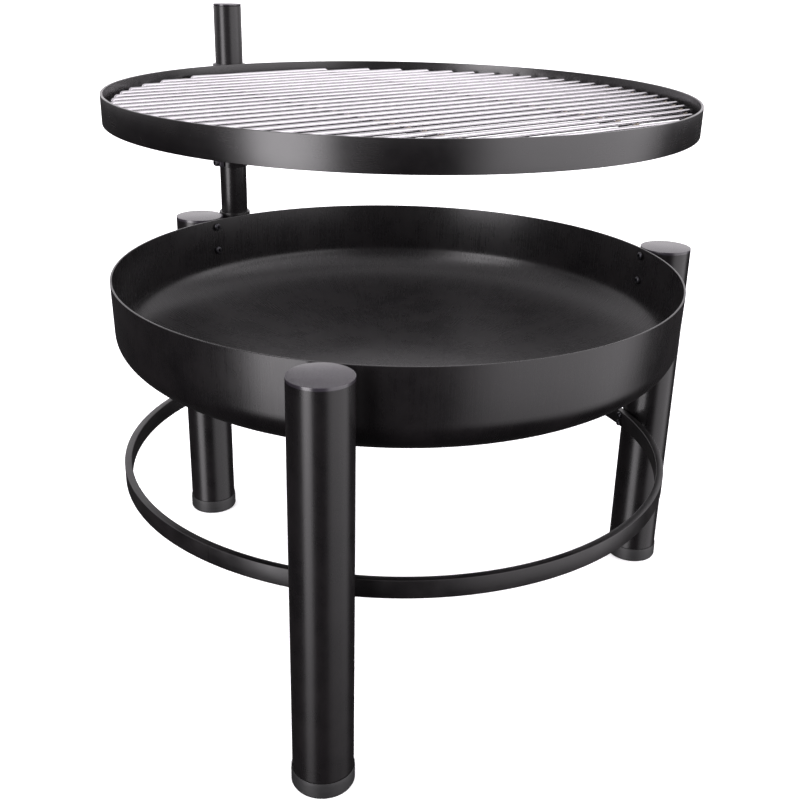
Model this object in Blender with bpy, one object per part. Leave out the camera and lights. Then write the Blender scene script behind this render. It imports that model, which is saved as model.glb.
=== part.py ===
"""Fire bowl on three tube legs, with a swinging grate on a mast. Metres, +Z up, floor at z = 0."""
import math

import bpy
from mathutils import Matrix, Vector

GAP = 0.0003

BOWL_R = 0.350
BOWL_RIM_Z = 0.4723
BOWL_WALL = 0.0025
BOWL_WALL_FOOT_R = 0.3487
BOWL_WALL_FOOT_Z = 0.411
BOWL_FLOOR_R = 0.105
BOWL_FLOOR_Z = 0.337
BOWL_SHOULDER_POWER = 2.17
BOWL_SHOULDER_STEPS = 8
BOWL_SIDES = 60

LEG_CIRCLE_R = 0.3838
LEG_R = 0.0335
LEG_WALL = 0.002
LEG_AZIMUTHS = {"front": 270.0, "right": 30.0, "left": 150.0}
LEG_CAP_TOP_Z = 0.4730
LEG_CAP_THICK = 0.0035
LEG_CAP_SPIGOT = 0.002
LEG_SIDES = 36

FOOT_R = 0.0348
FOOT_HEIGHT = 0.020
FOOT_FLOOR = 0.003

RING_R = 0.350
RING_THICK = 0.009
RING_TOP_Z = 0.2348
RING_HEIGHT = 0.0220
RING_SEAM_AZIMUTH = 245.5
RING_SEAM_GAP = 0.0004
RING_STEPS = 72

BOLT_SHANK_R = 0.003
BOLT_HEAD_R = 0.0052
BOLT_HEAD_HEIGHT = 0.0032
BOLT_LENGTH = 0.014
BOWL_BOLT_ZS = {"upper": 0.4625, "lower": 0.4285}
RING_BOLT_ZS = {"upper": 0.2293, "lower": 0.2177}
RING_BOLT_HEAD_R = 0.0045

MAST_R = 0.019
MAST_WALL = 0.002
MAST_TOP_Z = 0.7635
MAST_CAP_THICK = 0.0025
MAST_SIDES = 36
SOCKET_R = 0.0223
SOCKET_TOP_Z = 0.4745
SOCKET_BOTTOM_Z = 0.322
SOCKET_FLOOR = 0.003

SLEEVE_R = 0.0209
SLEEVE_TOP_Z = 0.6840
SLEEVE_BOTTOM_Z = 0.5410
COLLAR_R = 0.0228
COLLAR_HEIGHT = 0.009

BAND_R = 0.344
BAND_WALL = 0.003
BAND_TOP_Z = 0.6860
BAND_HEIGHT = 0.0326
BAND_STEPS = 72

BRACKET_HALF_WIDTH = 0.038
BRACKET_THICK = 0.003
BRACKET_PLATE_ZS = {"upper": 0.6715, "lower": 0.6560}

SUPPORT_AZIMUTH = 20.0
SUPPORT_TOP_Z = 0.6663
SUPPORT_BAR_HEIGHT = 0.012
SUPPORT_BAR_THICK = 0.004
LUG_WIDTH = 0.030
LUG_DEPTH = 0.028
LUG_THICK = 0.003
LUG_TURNS = {"back": 90.0, "front": -90.0}

SET_BOLT_AZIMUTH = 235.0
SET_BOLT_Z = 0.5480
SET_BOSS_WIDTH = 0.016
SET_BOSS_REACH = 0.0275
SET_BOSS_TOP_Z = 0.590
SET_BOSS_TAPER = 0.012

CLAMP_AZIMUTH = 165.0
CLAMP_Z = 0.6550
CLAMP_SCREW_R = 0.004
CLAMP_BOSS_R = 0.008
CLAMP_BOSS_LENGTH = 0.009
KNOB_R = 0.017
KNOB_START = 0.052
KNOB_LENGTH = 0.030
KNOB_BORE_DEPTH = 0.020
KNOB_CHAMFER = 0.003
KNOB_SIDES = 32

GRILL_WIRE_R = 0.003
GRILL_RING_R = 0.3258
GRILL_RING_Z = 0.6698
GRILL_ROD_R = 0.0025
GRILL_ROD_Z = 0.6750
GRILL_ROD_END_R = 0.3327
GRILL_ROD_TIP_Z = 0.6677
GRILL_ROD_BEND_R = 0.004
GRILL_ROD_PITCH = 0.0262
GRILL_ROD_COUNT = 25
GRILL_AZIMUTH = 49.0
GRILL_CROSS_OFFSETS = {"near_mast": -0.117, "far": 0.110}
GRILL_RING_STEPS = 60


def polar(radius, degrees, z=0.0):
    angle = math.radians(degrees)
    return Vector((radius * math.cos(angle), radius * math.sin(angle), z))


LEG_TO_MAST = LEG_R + SOCKET_R + GAP
MAST_CIRCLE_R = BOWL_R + COLLAR_R + GAP
MAST_TURN = math.degrees(math.acos(
    (LEG_CIRCLE_R ** 2 + MAST_CIRCLE_R ** 2 - LEG_TO_MAST ** 2)
    / (2 * LEG_CIRCLE_R * MAST_CIRCLE_R)))
MAST_AZIMUTH = LEG_AZIMUTHS["left"] - MAST_TURN
MAST_AT = polar(MAST_CIRCLE_R, MAST_AZIMUTH)

# The stand's own axis is moved so that the whole object is centred on the world's Z axis.
KNOB_END = MAST_AT + polar(KNOB_START + KNOB_LENGTH, CLAMP_AZIMUTH)
LOW_X = KNOB_END.x - (KNOB_R - KNOB_CHAMFER) * abs(math.sin(math.radians(CLAMP_AZIMUTH)))
HIGH_X = polar(LEG_CIRCLE_R, LEG_AZIMUTHS["right"]).x + FOOT_R
LOW_Y = -LEG_CIRCLE_R - FOOT_R
HIGH_Y = BOWL_R
CENTRE = Vector((-(LOW_X + HIGH_X) / 2, -(LOW_Y + HIGH_Y) / 2, 0.0))


def make_material(name, colour, roughness, metallic):
    material = bpy.data.materials.new(name)
    material.use_nodes = True
    shader = material.node_tree.nodes["Principled BSDF"]
    shader.inputs["Base Color"].default_value = (*colour, 1.0)
    shader.inputs["Roughness"].default_value = roughness
    shader.inputs["Metallic"].default_value = metallic
    material.diffuse_color = (*colour, 1.0)
    return material


BLACK_PAINT = ((0.028, 0.026, 0.027), 0.38, 0.0)
BLACK_PLASTIC = ((0.018, 0.018, 0.019), 0.50, 0.0)
BLACK_BOLT = ((0.035, 0.034, 0.036), 0.35, 0.6)
BRIGHT_STEEL = ((0.72, 0.71, 0.72), 0.28, 1.0)


def link_object(name, mesh, parent, finish):
    obj = bpy.data.objects.new(name, mesh)
    bpy.context.scene.collection.objects.link(obj)
    obj.parent = parent
    if finish:
        mesh.materials.append(make_material(name, *finish))
    return obj


def make_empty(name, at, parent=None):
    empty = bpy.data.objects.new(name, None)
    bpy.context.scene.collection.objects.link(empty)
    empty.location = at
    empty.parent = parent
    return empty


def add_mesh(name, points, faces, parent, finish):
    mesh = bpy.data.meshes.new(name)
    mesh.from_pydata([tuple(point) for point in points], [], faces)
    mesh.validate()
    obj = link_object(name, mesh, parent, finish)
    mesh.polygons.foreach_set("use_smooth", [True] * len(mesh.polygons))
    mesh.set_sharp_from_angle(angle=math.radians(35))
    return obj


def add_revolve(name, profile, sides, parent, finish, matrix=Matrix()):
    """A closed body turned about Z. The (radius, z) profile runs anticlockwise, and radius 0 is a pole."""
    points, rings = [], []
    for radius, z in profile:
        count = 1 if radius == 0 else sides
        rings.append(range(len(points), len(points) + count))
        for step in range(count):
            points.append(matrix @ polar(radius, 360 * step / sides, z))
    faces = []
    closed = all(radius > 0 for radius, z in profile)
    pairs = list(zip(rings, rings[1:] + rings[:1]))
    for low, high in pairs if closed else pairs[:-1]:
        for step in range(sides):
            after = (step + 1) % sides
            if len(low) == 1:
                faces.append((low[0], high[after], high[step]))
            elif len(high) == 1:
                faces.append((low[step], low[after], high[0]))
            else:
                faces.append((low[step], low[after], high[after], high[step]))
    return add_mesh(name, points, faces, parent, finish)


def add_prism(name, outline, low, high, parent, finish, matrix=Matrix()):
    """A closed body from an anticlockwise (x, y) outline, between two heights."""
    count = len(outline)
    points = [matrix @ Vector((x, y, z)) for z in (low, high) for x, y in outline]
    faces = [tuple(reversed(range(count))), tuple(range(count, 2 * count))]
    for step in range(count):
        after = (step + 1) % count
        faces.append((step, after, count + after, count + step))
    return add_mesh(name, points, faces, parent, finish)


def add_box(name, low, high, parent, finish, matrix=Matrix()):
    outline = [(low[0], low[1]), (high[0], low[1]), (high[0], high[1]), (low[0], high[1])]
    return add_prism(name, outline, low[2], high[2], parent, finish, matrix)


def add_rod(name, path, radius, sides, parent, finish):
    """A round rod swept along a flat path, with its ends closed."""
    normal = (path[1] - path[0]).cross(path[-1] - path[0])
    if normal.length < 1e-9:
        normal = (path[1] - path[0]).orthogonal()
    normal.normalize()
    points = []
    for index, at in enumerate(path):
        before = (at - path[max(index - 1, 0)]).normalized()
        after = (path[min(index + 1, len(path) - 1)] - at).normalized()
        along = (before + after).normalized()
        side = normal.cross(along).normalized()
        stretch = 1 / max(0.5, along.dot(after if index == 0 else before))
        for step in range(sides):
            angle = 2 * math.pi * (step + 0.5) / sides
            points.append(at + normal * radius * math.cos(angle) + side * radius * stretch * math.sin(angle))
    faces = [tuple(range(sides)), tuple(reversed(range(len(points) - sides, len(points))))]
    for index in range(len(path) - 1):
        for step in range(sides):
            after = (step + 1) % sides
            low, high = index * sides, (index + 1) * sides
            faces.append((low + after, low + step, high + step, high + after))
    return add_mesh(name, points, faces, parent, finish)


def across(azimuth, z):
    """Turns a body made about Z to lie about the outward line at this azimuth and height."""
    return Matrix.Translation((0, 0, z)) @ Matrix.Rotation(math.radians(azimuth), 4, "Z") \
        @ Matrix.Rotation(math.radians(90), 4, "Y")


def cut(obj, cutter):
    cutter.hide_render = True
    cutter.display_type = "WIRE"
    modifier = obj.modifiers.new(cutter.name, "BOOLEAN")
    modifier.operation = "DIFFERENCE"
    modifier.solver = "EXACT"
    modifier.object = cutter


def cut_holes(obj, azimuth, heights, radius, near, far, parent):
    for label, z in heights.items():
        name = "{}_hole_{:.0f}_{}".format(obj.name, azimuth, label)
        profile = [(0, near), (radius, near), (radius, far), (0, far)]
        cut(obj, add_revolve(name, profile, 16, parent, None, across(azimuth, z)))


def bolt_profile(head_r, head_height, length):
    """A button head below z = 0 and a shank above it."""
    return [
        (0, -head_height), (head_r * 0.55, -head_height), (head_r * 0.86, -head_height * 0.72),
        (head_r, -head_height * 0.25), (head_r, 0), (BOLT_SHANK_R, 0), (BOLT_SHANK_R, length), (0, length),
    ]


def tube_profile(outer, inner, low, high):
    return [(inner, high), (inner, low), (outer, low), (outer, high)]


for old in list(bpy.data.objects):
    bpy.data.objects.remove(old, do_unlink=True)

stand = make_empty("stand_axis", CENTRE)


# The spun bowl: a short upright wall, a wide shoulder and a flat floor.
def bowl_shell(inset):
    shell = [(BOWL_R - inset, BOWL_RIM_Z)]
    for step in range(BOWL_SHOULDER_STEPS + 1):
        angle = math.pi / 2 * step / BOWL_SHOULDER_STEPS
        reach = math.cos(angle) ** (2 / BOWL_SHOULDER_POWER) if step < BOWL_SHOULDER_STEPS else 0.0
        drop = math.sin(angle) ** (2 / BOWL_SHOULDER_POWER) if step else 0.0
        radius = BOWL_FLOOR_R + (BOWL_WALL_FOOT_R - inset - BOWL_FLOOR_R) * reach
        z = BOWL_WALL_FOOT_Z - (BOWL_WALL_FOOT_Z - BOWL_FLOOR_Z - inset) * drop
        shell.append((radius, z))
    return shell + [(0, BOWL_FLOOR_Z + inset)]


bowl_profile = list(reversed(bowl_shell(0))) + bowl_shell(BOWL_WALL)
bowl = add_revolve("fire_bowl", bowl_profile, BOWL_SIDES, stand, BLACK_PAINT)

# Three tube legs, each with a top disc and a foot cap.
tube_low = FOOT_FLOOR + GAP
tube_high = LEG_CAP_TOP_Z - LEG_CAP_THICK - GAP
for side, azimuth in LEG_AZIMUTHS.items():
    foot = Matrix.Translation(polar(LEG_CIRCLE_R, azimuth))
    leg_profile = tube_profile(LEG_R, LEG_R - LEG_WALL, tube_low, tube_high)
    leg = add_revolve("leg_tube_" + side, leg_profile, LEG_SIDES, stand, BLACK_PAINT, foot)
    spigot_r = LEG_R - LEG_WALL - GAP
    spigot_z = tube_high - LEG_CAP_SPIGOT
    disc_z = tube_high + GAP
    cap_profile = [
        (0, spigot_z), (spigot_r, spigot_z), (spigot_r, disc_z), (LEG_R, disc_z),
        (LEG_R, LEG_CAP_TOP_Z - 0.0006), (LEG_R - 0.0006, LEG_CAP_TOP_Z), (0, LEG_CAP_TOP_Z),
    ]
    add_revolve("leg_cap_" + side, cap_profile, LEG_SIDES, stand, BLACK_PAINT, foot)
    cup_r = LEG_R + GAP
    foot_profile = [
        (0, 0), (FOOT_R - 0.0015, 0), (FOOT_R, 0.0015), (FOOT_R, FOOT_HEIGHT), (cup_r, FOOT_HEIGHT),
        (cup_r, FOOT_FLOOR), (0, FOOT_FLOOR),
    ]
    add_revolve("foot_cap_" + side, foot_profile, LEG_SIDES, stand, BLACK_PLASTIC, foot)
    cut_holes(leg, azimuth, BOWL_BOLT_ZS, BOLT_SHANK_R + GAP, BOWL_R - 0.01, BOWL_R + 0.02, stand)
    cut_holes(leg, azimuth, RING_BOLT_ZS, BOLT_SHANK_R + GAP, BOWL_R - 0.01, BOWL_R + 0.02, stand)
    cut_holes(bowl, azimuth, BOWL_BOLT_ZS, BOLT_SHANK_R + GAP, BOWL_R - 0.02, BOWL_R + 0.01, stand)
    for label, z in BOWL_BOLT_ZS.items():
        head = bolt_profile(BOLT_HEAD_R, BOLT_HEAD_HEIGHT, BOLT_LENGTH)
        rise = (z - BOLT_HEAD_R - BOWL_WALL_FOOT_Z) / (BOWL_RIM_Z - BOWL_WALL_FOOT_Z)
        seat = BOWL_WALL_FOOT_R + (BOWL_R - BOWL_WALL_FOOT_R) * rise - BOWL_WALL - 2 * GAP
        outward = across(azimuth, z) @ Matrix.Translation((0, 0, seat))
        add_revolve("bowl_bolt_{}_{}".format(side, label), head, 16, stand, BLACK_BOLT, outward)
    for label, z in RING_BOLT_ZS.items():
        head = bolt_profile(RING_BOLT_HEAD_R, BOLT_HEAD_HEIGHT, BOLT_LENGTH + RING_THICK)
        seat = RING_R - RING_THICK - 3 * GAP
        outward = across(azimuth, z) @ Matrix.Translation((0, 0, seat))
        add_revolve("ring_bolt_{}_{}".format(side, label), head, 16, stand, BLACK_BOLT, outward)

# The lower ring: one flat bar rolled to a hoop inside the legs, its two ends meeting at a seam.
seam_half = math.degrees(RING_SEAM_GAP / 2 / RING_R)
hoop_points = []
for step in range(RING_STEPS + 1):
    azimuth = RING_SEAM_AZIMUTH + seam_half + (360 - 2 * seam_half) * step / RING_STEPS
    for radius, z in (
        (RING_R - RING_THICK, RING_TOP_Z - RING_HEIGHT), (RING_R, RING_TOP_Z - RING_HEIGHT),
        (RING_R, RING_TOP_Z), (RING_R - RING_THICK, RING_TOP_Z),
    ):
        hoop_points.append(polar(radius, azimuth, z))
hoop_faces = [(0, 1, 2, 3), (4 * RING_STEPS + 3, 4 * RING_STEPS + 2, 4 * RING_STEPS + 1, 4 * RING_STEPS)]
for step in range(RING_STEPS):
    for corner in range(4):
        near, after = 4 * step, (corner + 1) % 4
        hoop_faces.append((near + after, near + corner, near + 4 + corner, near + 4 + after))
lower_ring = add_mesh("lower_ring", hoop_points, hoop_faces, stand, BLACK_PAINT)
for side, azimuth in LEG_AZIMUTHS.items():
    cut_holes(lower_ring, azimuth, RING_BOLT_ZS, BOLT_SHANK_R + GAP, RING_R - 0.02, RING_R + 0.01, stand)

# The mast socket: a short tube with a floor, welded beside the left leg.
socket_bore = MAST_R + GAP
socket_profile = [
    (0, SOCKET_BOTTOM_Z), (SOCKET_R, SOCKET_BOTTOM_Z), (SOCKET_R, SOCKET_TOP_Z), (socket_bore, SOCKET_TOP_Z),
    (socket_bore, SOCKET_BOTTOM_Z + SOCKET_FLOOR), (0, SOCKET_BOTTOM_Z + SOCKET_FLOOR),
]
at_mast = Matrix.Translation(MAST_AT)
add_revolve("mast_socket", socket_profile, MAST_SIDES, stand, BLACK_PAINT, at_mast)

# The mast turns in its socket about this axis.
mast_axis = make_empty("mast_axis", MAST_AT, stand)
mast_low = SOCKET_BOTTOM_Z + SOCKET_FLOOR + GAP
mast_high = MAST_TOP_Z - MAST_CAP_THICK - GAP
mast_profile = tube_profile(MAST_R, MAST_R - MAST_WALL, mast_low, mast_high)
add_revolve("mast_tube", mast_profile, MAST_SIDES, mast_axis, BLACK_PAINT)
mast_cap_profile = [
    (0, mast_high - 0.005), (MAST_R - MAST_WALL - GAP, mast_high - 0.005),
    (MAST_R - MAST_WALL - GAP, mast_high + GAP), (MAST_R, mast_high + GAP),
    (MAST_R, MAST_TOP_Z - 0.0006), (MAST_R - 0.0006, MAST_TOP_Z), (0, MAST_TOP_Z),
]
add_revolve("mast_cap", mast_cap_profile, MAST_SIDES, mast_axis, BLACK_PAINT)

# The carriage: a sleeve that slides on the mast, with a thick collar round its top end.
carriage = make_empty("carriage_slide", (0, 0, 0), mast_axis)
sleeve_profile = tube_profile(SLEEVE_R, MAST_R + GAP, SLEEVE_BOTTOM_Z, SLEEVE_TOP_Z)
sleeve = add_revolve("slide_sleeve", sleeve_profile, MAST_SIDES, carriage, BLACK_PAINT)
collar_profile = tube_profile(COLLAR_R, SLEEVE_R + GAP, SLEEVE_TOP_Z - COLLAR_HEIGHT, SLEEVE_TOP_Z)
add_revolve("sleeve_collar", collar_profile, MAST_SIDES, carriage, BLACK_PAINT)

# The grate band and the two flat plates that carry it on the sleeve.
grate = make_empty("grate_centre", -MAST_AT, carriage)
band_profile = tube_profile(BAND_R, BAND_R - BAND_WALL, BAND_TOP_Z - BAND_HEIGHT, BAND_TOP_Z)
add_revolve("grate_band", band_profile, BAND_STEPS, grate, BLACK_PAINT)
to_mast = Matrix.Rotation(math.radians(MAST_AZIMUTH), 4, "Z")
plate_outline = []
for step in range(-4, 5):
    angle = math.asin(BRACKET_HALF_WIDTH / BAND_R) * step / 4
    plate_outline.append(((BAND_R + 2 * GAP) * math.cos(angle), (BAND_R + 2 * GAP) * math.sin(angle)))
plate_outline.reverse()
plate_outline.append((MAST_CIRCLE_R, -BRACKET_HALF_WIDTH * 0.78))
plate_outline.append((MAST_CIRCLE_R, BRACKET_HALF_WIDTH * 0.78))
for label, z in BRACKET_PLATE_ZS.items():
    plate = add_prism(
        "bracket_plate_" + label, plate_outline, z, z + BRACKET_THICK, grate, BLACK_PAINT, to_mast)
    notch_profile = [(0, z - 0.01), (SLEEVE_R + GAP, z - 0.01), (SLEEVE_R + GAP, z + 0.01), (0, z + 0.01)]
    cut(plate, add_revolve("bracket_notch_" + label, notch_profile, MAST_SIDES, grate, None, at_mast))

# One flat bar across the band, and two lugs, hold the grill.
bar_reach = BAND_R - BAND_WALL - 2 * GAP
bar_turn = Matrix.Rotation(math.radians(SUPPORT_AZIMUTH), 4, "Z")
add_box(
    "support_bar", (-bar_reach, -SUPPORT_BAR_THICK / 2, SUPPORT_TOP_Z - SUPPORT_BAR_HEIGHT),
    (bar_reach, SUPPORT_BAR_THICK / 2, SUPPORT_TOP_Z), grate, BLACK_PAINT, bar_turn)
for label, turn in LUG_TURNS.items():
    lug_turn = Matrix.Rotation(math.radians(SUPPORT_AZIMUTH + turn), 4, "Z")
    lug_reach = math.sqrt((BAND_R - BAND_WALL - 2 * GAP) ** 2 - (LUG_WIDTH / 2) ** 2)
    add_box(
        "support_lug_" + label, (lug_reach - LUG_DEPTH, -LUG_WIDTH / 2, SUPPORT_TOP_Z - LUG_THICK),
        (lug_reach, LUG_WIDTH / 2, SUPPORT_TOP_Z), grate, BLACK_PAINT, lug_turn)

# A welded boss and a set bolt at the sleeve's lower end.
boss_start = SLEEVE_R + GAP
boss_outline = [
    (-SET_BOSS_TOP_Z, boss_start), (-SET_BOSS_TOP_Z + SET_BOSS_TAPER, SET_BOSS_REACH),
    (-SLEEVE_BOTTOM_Z - SET_BOSS_TAPER / 4, SET_BOSS_REACH), (-SLEEVE_BOTTOM_Z, boss_start),
]
boss_turn = Matrix.Rotation(math.radians(SET_BOLT_AZIMUTH), 4, "Z") @ Matrix.Rotation(math.radians(90), 4, "Y")
boss_frame = boss_turn @ Matrix(((1, 0, 0, 0), (0, 0, 1, 0), (0, 1, 0, 0), (0, 0, 0, 1)))
set_boss = add_prism(
    "set_boss", boss_outline, -SET_BOSS_WIDTH / 2, SET_BOSS_WIDTH / 2, carriage, BLACK_PAINT, boss_frame)
set_boss.data.flip_normals()
set_heights = {"set": SET_BOLT_Z}
for pierced in (set_boss, sleeve):
    cut_holes(pierced, SET_BOLT_AZIMUTH, set_heights, BOLT_SHANK_R + GAP, MAST_R - 0.004, 0.04, carriage)
set_shank = SET_BOSS_REACH + GAP - MAST_R - 2 * GAP
set_frame = across(SET_BOLT_AZIMUTH, SET_BOLT_Z) @ Matrix.Translation((0, 0, SET_BOSS_REACH + GAP)) \
    @ Matrix.Rotation(math.pi, 4, "X")
set_profile = bolt_profile(BOLT_HEAD_R, 0.0045, set_shank)
add_revolve("set_bolt", set_profile, 16, carriage, BLACK_BOLT, set_frame)

# The clamp: a welded round boss, and a hand knob on a screw that turns about this axis.
clamp_heights = {"clamp": CLAMP_Z}
cut_holes(sleeve, CLAMP_AZIMUTH, clamp_heights, CLAMP_SCREW_R + GAP, 0.010, 0.040, carriage)
clamp_line = across(CLAMP_AZIMUTH, CLAMP_Z)
boss_end = boss_start + CLAMP_BOSS_LENGTH
knob_boss_profile = tube_profile(CLAMP_BOSS_R, CLAMP_SCREW_R + GAP, boss_start, boss_end)
add_revolve("knob_boss", knob_boss_profile, 24, carriage, BLACK_PAINT, clamp_line)
clamp_axis = make_empty("clamp_axis", (0, 0, CLAMP_Z), carriage)
clamp_axis.rotation_euler = (0, math.radians(90), math.radians(CLAMP_AZIMUTH))
screw_start = MAST_R + 2 * GAP
screw_end = KNOB_START + KNOB_BORE_DEPTH - GAP
screw_profile = [(0, screw_start), (CLAMP_SCREW_R, screw_start), (CLAMP_SCREW_R, screw_end), (0, screw_end)]
add_revolve("clamp_screw", screw_profile, 20, clamp_axis, BRIGHT_STEEL)
knob_end = KNOB_START + KNOB_LENGTH
knob_bore = CLAMP_SCREW_R + GAP
knob_profile = [
    (knob_bore, KNOB_START), (KNOB_R * 0.55, KNOB_START), (KNOB_R * 0.62, KNOB_START + 0.006),
    (KNOB_R - 0.002, KNOB_START + 0.008), (KNOB_R, KNOB_START + 0.010), (KNOB_R, knob_end - KNOB_CHAMFER),
    (KNOB_R - KNOB_CHAMFER, knob_end), (0, knob_end),
]
knob_inside = [(0, KNOB_START + KNOB_BORE_DEPTH), (knob_bore, KNOB_START + KNOB_BORE_DEPTH)]
add_revolve("clamp_knob", knob_inside + knob_profile, KNOB_SIDES, clamp_axis, BLACK_PLASTIC)

# The grill that lies in the band: a wire ring, two cross rods and parallel rods with turned-down ends.
grill = make_empty("grill_axis", (0, 0, 0), grate)
wire_profile = []
for step in range(8):
    angle = math.radians(22.5 + 45 * step)
    wire_profile.append((
        GRILL_RING_R + GRILL_WIRE_R * math.cos(angle), GRILL_RING_Z + GRILL_WIRE_R * math.sin(angle)))
grill_grid = add_revolve("grill_grid", wire_profile, GRILL_RING_STEPS, grill, BRIGHT_STEEL)
rods = bpy.data.collections.new("grill_rods")
bpy.context.scene.collection.children.link(rods)
grill_turn = Matrix.Rotation(math.radians(GRILL_AZIMUTH), 4, "Z")


def add_grill_rod(name, path, radius, sides):
    rod = add_rod(name, [grill_turn @ point for point in path], radius, sides, grill, None)
    bpy.context.scene.collection.objects.unlink(rod)
    rods.objects.link(rod)
    rod.hide_render = True
    rod.display_type = "WIRE"


for label, along in GRILL_CROSS_OFFSETS.items():
    half = math.sqrt(GRILL_RING_R ** 2 - along ** 2)
    ends = [Vector((along, -half, GRILL_RING_Z)), Vector((along, half, GRILL_RING_Z))]
    add_grill_rod("grill_cross_" + label, ends, GRILL_WIRE_R * 0.98, 8)
for index in range(GRILL_ROD_COUNT):
    offset = (index - (GRILL_ROD_COUNT - 1) / 2) * GRILL_ROD_PITCH
    half = math.sqrt(GRILL_ROD_END_R ** 2 - offset ** 2)
    turned = GRILL_ROD_BEND_R * (1 - math.sqrt(0.5))
    path = [Vector((-half, offset, GRILL_ROD_TIP_Z)), Vector((-half, offset, GRILL_ROD_Z - GRILL_ROD_BEND_R))]
    path.append(Vector((-half + turned, offset, GRILL_ROD_Z - turned)))
    path.append(Vector((-half + GRILL_ROD_BEND_R, offset, GRILL_ROD_Z)))
    path += [Vector((-point.x, point.y, point.z)) for point in reversed(path)]
    add_grill_rod("grill_rod_{:02d}".format(index + 1), path, GRILL_ROD_R, 6)
weld = grill_grid.modifiers.new("welds", "BOOLEAN")
weld.operation = "UNION"
weld.solver = "EXACT"
weld.operand_type = "COLLECTION"
weld.collection = rods
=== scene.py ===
"""Fire bowl on three tube legs, with a hoop below and a round grill that swings on a side mast."""
import math

import bpy
from mathutils import Matrix, Vector


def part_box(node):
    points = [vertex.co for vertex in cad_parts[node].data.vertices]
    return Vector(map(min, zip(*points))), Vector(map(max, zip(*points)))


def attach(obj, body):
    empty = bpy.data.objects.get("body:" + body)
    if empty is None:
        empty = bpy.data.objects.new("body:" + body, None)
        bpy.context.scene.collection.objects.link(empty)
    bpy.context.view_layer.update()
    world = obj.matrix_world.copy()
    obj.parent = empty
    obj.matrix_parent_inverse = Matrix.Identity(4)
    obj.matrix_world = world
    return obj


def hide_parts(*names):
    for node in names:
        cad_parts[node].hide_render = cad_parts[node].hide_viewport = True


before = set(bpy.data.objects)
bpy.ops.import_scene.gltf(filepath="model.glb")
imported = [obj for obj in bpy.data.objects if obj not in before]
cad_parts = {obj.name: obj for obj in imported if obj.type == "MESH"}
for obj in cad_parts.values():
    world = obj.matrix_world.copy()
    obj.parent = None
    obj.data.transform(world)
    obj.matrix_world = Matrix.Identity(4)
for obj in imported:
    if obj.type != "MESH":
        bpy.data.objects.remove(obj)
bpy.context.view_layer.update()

# ---------------------------------------------------------------------------------------------
# Fire bowl. A round blank of 2.5 mm mild steel, spun on a lathe to an upright wall, a wide
# shoulder and a flat floor, then sprayed with satin black stove paint inside and out.
BOWL_R = 0.350
BOWL_RIM_Z = 0.4723
BOWL_WALL = 0.0025
BOWL_WALL_FOOT = (0.3487, 0.411)
BOWL_FLOOR = (0.105, 0.337)
BOWL_SHOULDER_POWER = 2.17

bowl_low, bowl_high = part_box("fire_bowl")
AXIS = Vector(((bowl_low.x + bowl_high.x) / 2, (bowl_low.y + bowl_high.y) / 2, 0.0))


def around(radius, degrees, z=0.0):
    """A point at this radius and azimuth about the bowl's axis."""
    angle = math.radians(degrees)
    return AXIS + Vector((radius * math.cos(angle), radius * math.sin(angle), z))


def eased(outline, radius, steps=3):
    """The outline with each sharp corner rounded. Points on the turning axis stay as they are."""
    points = [Vector(point) for point in outline]
    made = []
    for index, at in enumerate(points):
        before, after = points[index - 1], points[(index + 1) % len(points)]
        into, out = at - before, after - at
        turn = into.angle(out) if into.length > 1e-7 and out.length > 1e-7 else 0.0
        if turn < math.radians(25) or at.x < 1e-6:
            made.append(at)
            continue
        reach = min(radius * math.tan(turn / 2), into.length * 0.45, out.length * 0.45)
        start, end = at - into.normalized() * reach, at + out.normalized() * reach
        for step in range(steps + 1):
            share = step / steps
            made.append(start.lerp(at, share).lerp(at.lerp(end, share), share))
    return made


def turned(name, profile, sides, place=Matrix()):
    """A closed body turned about Z, its UV map in metres: round the body, then along the profile."""
    points, rings, lengths = [], [], [0.0]
    for index, (radius, z) in enumerate(profile):
        count = 1 if radius < 1e-6 else sides
        rings.append(range(len(points), len(points) + count))
        for step in range(count):
            angle = 2 * math.pi * step / sides
            points.append(place @ Vector((radius * math.cos(angle), radius * math.sin(angle), z)))
        after = profile[(index + 1) % len(profile)]
        lengths.append(lengths[-1] + math.dist((radius, z), after))
    widest = max(radius for radius, z in profile)
    faces, uvs = [], []
    pairs = list(enumerate(zip(rings, rings[1:] + rings[:1])))
    closed = all(len(ring) > 1 for ring in rings)
    for index, (low, high) in pairs if closed else pairs[:-1]:
        near, far = lengths[index], lengths[index + 1]
        for step in range(sides):
            after = (step + 1) % sides
            left = 2 * math.pi * widest * step / sides
            right = 2 * math.pi * widest * (step + 1) / sides
            if len(low) == 1:
                faces.append((low[0], high[after], high[step]))
                uvs += [(left, near), (right, far), (left, far)]
            elif len(high) == 1:
                faces.append((low[step], low[after], high[0]))
                uvs += [(left, near), (right, near), (left, far)]
            else:
                faces.append((low[step], low[after], high[after], high[step]))
                uvs += [(left, near), (right, near), (right, far), (left, far)]
    mesh = bpy.data.meshes.new(name)
    mesh.from_pydata([tuple(point) for point in points], [], faces)
    layer = mesh.uv_layers.new(name="metres")
    layer.data.foreach_set("uv", [value for uv in uvs for value in uv])
    return finished(name, mesh)


def finished(name, mesh):
    """The mesh as an object in the scene, smooth but for its sharp edges."""
    mesh.polygons.foreach_set("use_smooth", [True] * len(mesh.polygons))
    mesh.set_sharp_from_angle(angle=math.radians(32))
    made = bpy.data.objects.new(name, mesh)
    bpy.context.scene.collection.objects.link(made)
    return made


def keep(made, material, finish, body, *nodes):
    """Gives a piece its finish, lets it ride on its body, and lets it stand for its CAD nodes."""
    if material is not None:
        made.data.materials.clear()
        made.data.materials.append(material)
    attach(made, body)
    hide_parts(*nodes)
    return made


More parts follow.
